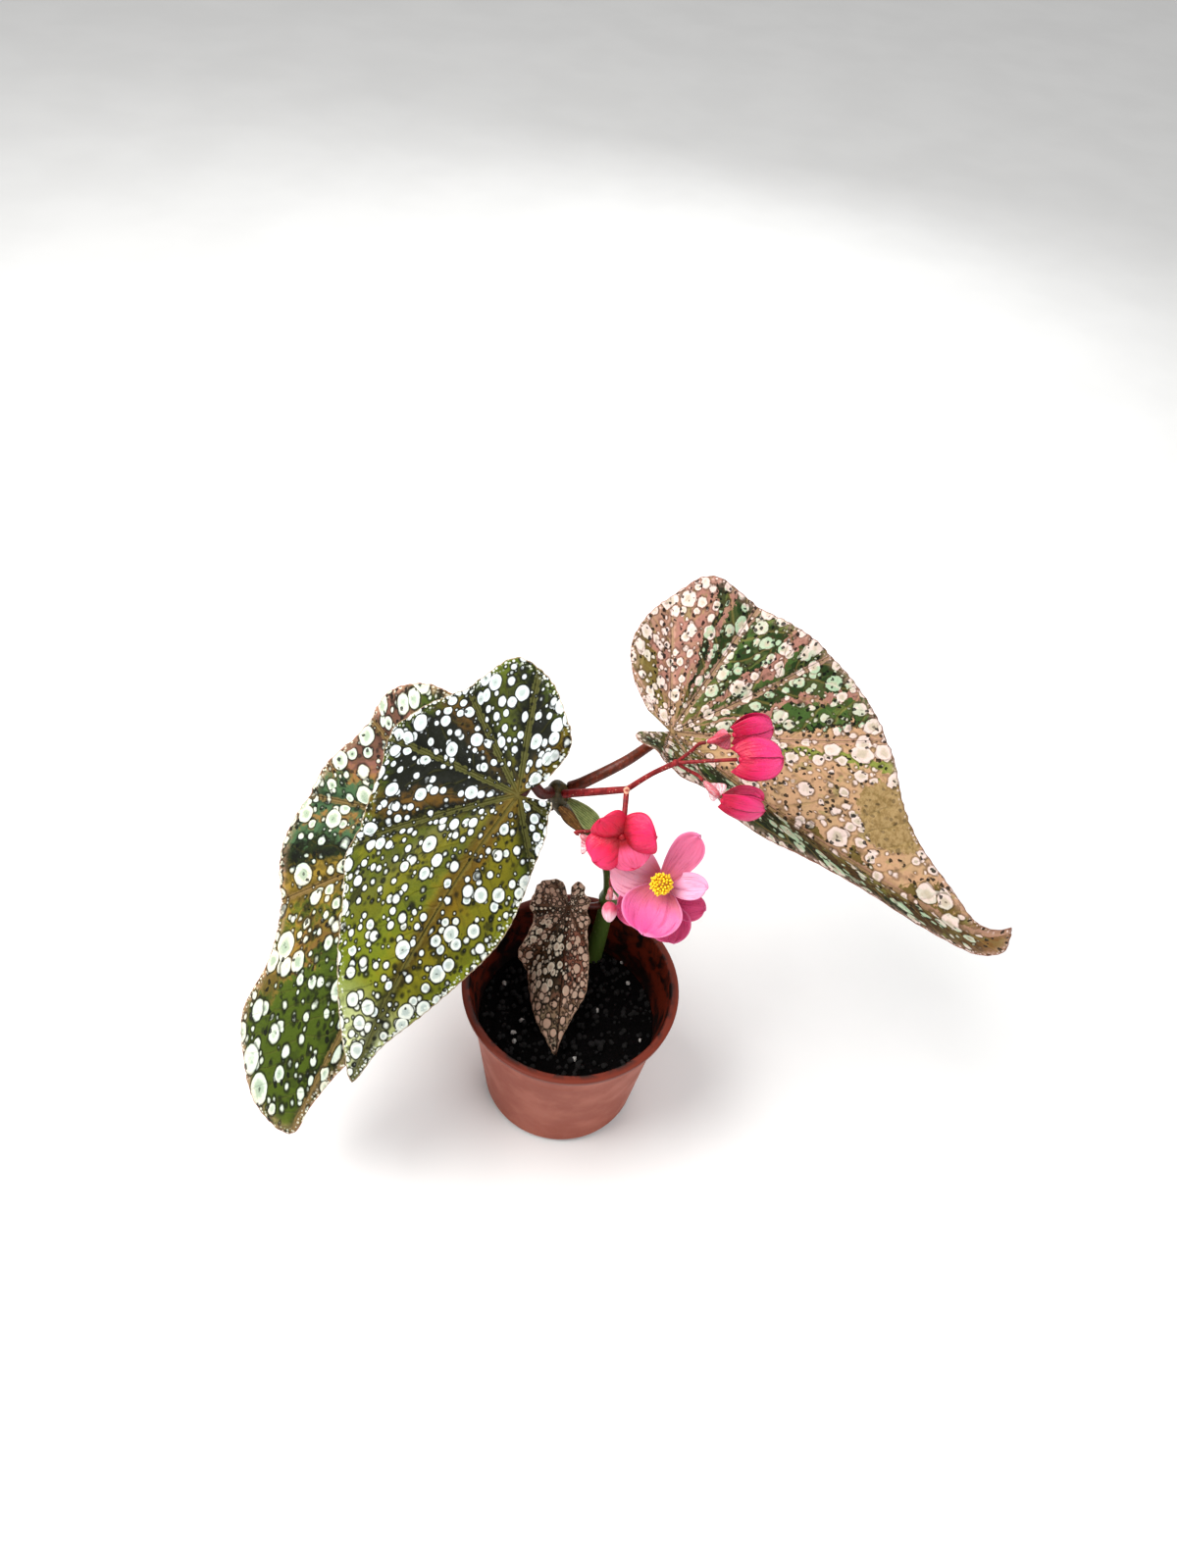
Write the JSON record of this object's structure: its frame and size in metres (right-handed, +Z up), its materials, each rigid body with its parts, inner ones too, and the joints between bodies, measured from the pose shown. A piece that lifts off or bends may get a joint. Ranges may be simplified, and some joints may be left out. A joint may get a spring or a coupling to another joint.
{
  "type": "potted begonia",
  "caption": "Potted angel-wing begonia: spotted wing-shaped leaves on a jointed cane, with a spray of pink flowers and buds, in a tapered plastic pot.",
  "frame": {"origin": "middle of the pot's underside, where it stands", "axes": "+Z up; the front of the plant, towards the viewer, is -Y; +X is the viewer's right, the side of the long leaf"},
  "size_m": [0.3349, 0.1968, 0.2359],
  "materials": {
    "terracotta_plastic": "satin, warm terracotta",
    "potting_soil": "crumbly and matt, near black",
    "cane_green": "smooth, satin green",
    "stalk_red": "smooth, satin dark red",
    "leaf_green": "waxy, dark green with pale spots",
    "leaf_pink_brown": "waxy, pinkish brown and green with pale spots",
    "leaf_taupe": "slightly blistered, taupe with pale spots",
    "dry_brown": "dry and matt",
    "paper_green": "papery olive green",
    "petal_pink": "soft satin pink",
    "petal_deep_pink": "waxy deep pink",
    "ovary_pale": "waxy pale pink",
    "stamen_yellow": "matt bright yellow"
  },
  "bodies": {
    "root": {"pot": "terracotta_plastic", "soil": "potting_soil", "cane": "cane_green", "leaf_front_left": "leaf_green", "leaf_rear_left": "leaf_green", "leaf_right": "leaf_pink_brown", "leaf_small": "leaf_taupe", "bract_dry": "dry_brown", "stipule_green": "paper_green", "petiole_front_left": "stalk_red", "petiole_rear_left": "stalk_red", "petiole_right": "stalk_red", "petiole_small": "stalk_red", "flower_stalk": "stalk_red", "flower_open_petals": "petal_pink", "flower_rear_petals": "petal_pink", "flower_half_open": "petal_deep_pink", "flower_open_stamens": "stamen_yellow", "bud_upper": "petal_deep_pink", "bud_middle": "petal_deep_pink", "bud_lower": "petal_deep_pink", "bud_small": "petal_pink", "ovary_upper": "ovary_pale", "ovary_lower": "ovary_pale", "ovary_side": "ovary_pale", "ovary_small": "ovary_pale"}
  },
  "joints": []
}
